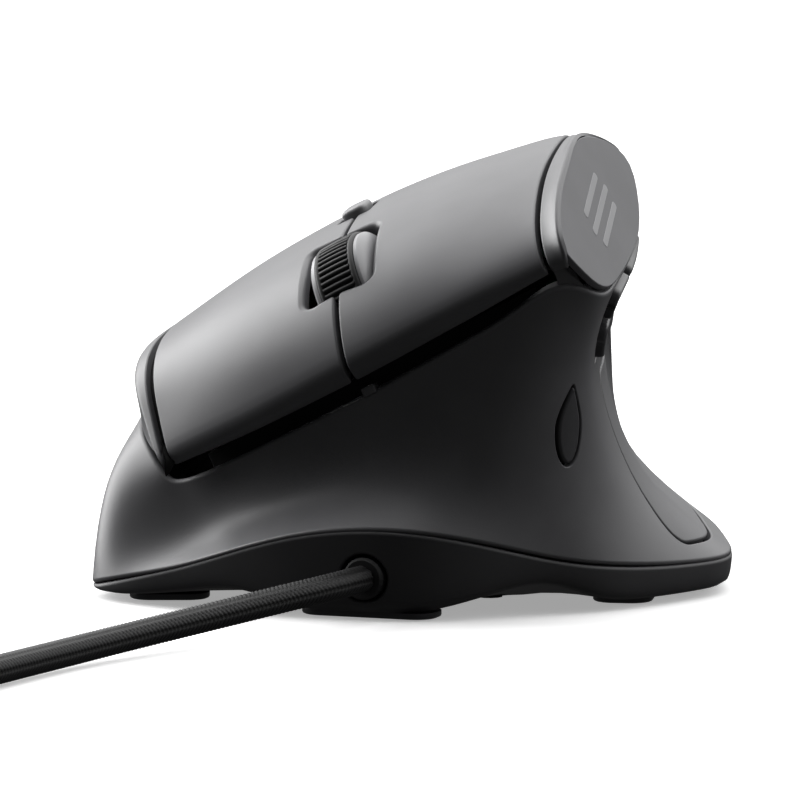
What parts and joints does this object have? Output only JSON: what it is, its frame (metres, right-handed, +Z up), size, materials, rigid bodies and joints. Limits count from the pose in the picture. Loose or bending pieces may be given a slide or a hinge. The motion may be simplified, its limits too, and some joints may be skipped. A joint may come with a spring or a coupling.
{
  "type": "vertical mouse",
  "caption": "Wired upright mouse for the right hand: sloping main buttons, scroll wheel, thumb keys on a flared side, and a braided cable.",
  "frame": {"origin": "on the desk, under the middle of the mouse, its cable left out", "axes": "+Z up, the cable leaves towards -Y, the thumb side is +X"},
  "size_m": [0.1312, 0.234, 0.0694],
  "materials": {
    "shell": "fine matt, soft-touch dark grey",
    "base": "plain matt black",
    "plate": "fine matt mid grey",
    "key": "satin dark grey",
    "tyre": "ribbed black rubber",
    "hub": "satin grey",
    "grip": "soft matt dark grey",
    "foot": "smooth low-friction plastic",
    "board": "green solder mask",
    "component": "moulded black",
    "frame": "moulded dark grey",
    "steel": "bright plated steel",
    "lens": "clear polished plastic",
    "cable": "black braided sleeve",
    "grommet": "matt black rubber",
    "plug": "matt black overmould"
  },
  "bodies": {
    "housing": {"base_shell": "base", "body_shell": "shell", "button_board": "board", "cable_coil": "cable", "cable_connector": "component", "cable_lead": "cable", "cable_tail": "cable", "cable_tie": "grommet", "case_screw_1": "steel", "case_screw_2": "steel", "case_screw_3": "steel", "case_screw_4": "steel", "controller_chip": "component", "cradle_pin": "steel", "crest_cap": "shell", "crest_plate": "plate", "dpi_board": "board", "dpi_switch": "component", "foot_front_left": "foot", "foot_front_middle": "foot", "foot_rear": "foot", "foot_thumb": "foot", "inner_frame": "frame", "left_switch": "component", "lower_cap": "shell", "main_board": "board", "optical_sensor": "component", "palm_cover": "shell", "plug_body": "plug", "plug_relief": "plug", "plug_shell": "steel", "right_switch": "component", "sensor_lens": "lens", "sniper_switch": "component", "strain_relief": "grommet", "thumb_board": "board", "thumb_panel": "grip", "thumb_switch_front_lower": "component", "thumb_switch_front_upper": "component", "thumb_switch_rear_lower": "component", "thumb_switch_rear_upper": "component", "wheel_encoder": "component", "wheel_switch": "component"},
    "left_button": {"left_button": "shell"},
    "right_button": {"right_button": "shell"},
    "wheel_cradle": {"wheel_cradle": "frame"},
    "scroll_wheel": {"wheel_tyre": "tyre", "wheel_core": "hub", "wheel_axle": "steel"},
    "dpi_key": {"dpi_key": "key"},
    "sniper_key": {"sniper_key": "key"},
    "thumb_key_front_upper": {"thumb_key_front_upper": "key"},
    "thumb_key_front_lower": {"thumb_key_front_lower": "key"},
    "thumb_key_rear_upper": {"thumb_key_rear_upper": "key"},
    "thumb_key_rear_lower": {"thumb_key_rear_lower": "key"}
  },
  "joints": [
    {"name": "left_button_press", "type": "hinge", "parent": "housing", "child": "left_button", "pos_m": [0.00832, 0.004, 0.06126], "axis": [0.8899, 0, 0.4562], "range_deg": [0, 0.9], "stiffness_Nm_per_rad": 1.2},
    {"name": "right_button_press", "type": "hinge", "parent": "housing", "child": "right_button", "pos_m": [-0.02193, 0.004, 0.04575], "axis": [0.8899, 0, 0.4562], "range_deg": [0, 0.9], "stiffness_Nm_per_rad": 1.2},
    {"name": "wheel_press", "type": "hinge", "parent": "housing", "child": "wheel_cradle", "pos_m": [0.00089, -0.0215, 0.03959], "axis": [0.8899, 0, 0.4562], "range_deg": [0, 1.8], "stiffness_Nm_per_rad": 0.6},
    {"name": "wheel_turn", "type": "hinge", "parent": "wheel_cradle", "child": "scroll_wheel", "pos_m": [-0.00221, -0.0391, 0.04564], "axis": [0.8899, 0, 0.4562], "continuous": true},
    {"name": "dpi_key_press", "type": "slide", "parent": "housing", "child": "dpi_key", "axis": [0.4562, 0, -0.8899], "range_m": [0, 0.0006], "stiffness_N_per_m": 800},
    {"name": "thumb_key_front_upper_press", "type": "slide", "parent": "housing", "child": "thumb_key_front_upper", "axis": [-0.8667, -0.2662, 0.4219], "range_m": [0, 0.0007], "stiffness_N_per_m": 800},
    {"name": "thumb_key_front_lower_press", "type": "slide", "parent": "housing", "child": "thumb_key_front_lower", "axis": [-0.9423, -0.2797, 0.1839], "range_m": [0, 0.0007], "stiffness_N_per_m": 800},
    {"name": "thumb_key_rear_upper_press", "type": "slide", "parent": "housing", "child": "thumb_key_rear_upper", "axis": [-0.8253, -0.3334, 0.4558], "range_m": [0, 0.0007], "stiffness_N_per_m": 800},
    {"name": "thumb_key_rear_lower_press", "type": "slide", "parent": "housing", "child": "thumb_key_rear_lower", "axis": [-0.9363, -0.2723, 0.2219], "range_m": [0, 0.0007], "stiffness_N_per_m": 800},
    {"name": "sniper_key_press", "type": "slide", "parent": "housing", "child": "sniper_key", "axis": [-0.8814, 0.4688, 0.0583], "range_m": [0, 0.0005], "stiffness_N_per_m": 800}
  ]
}
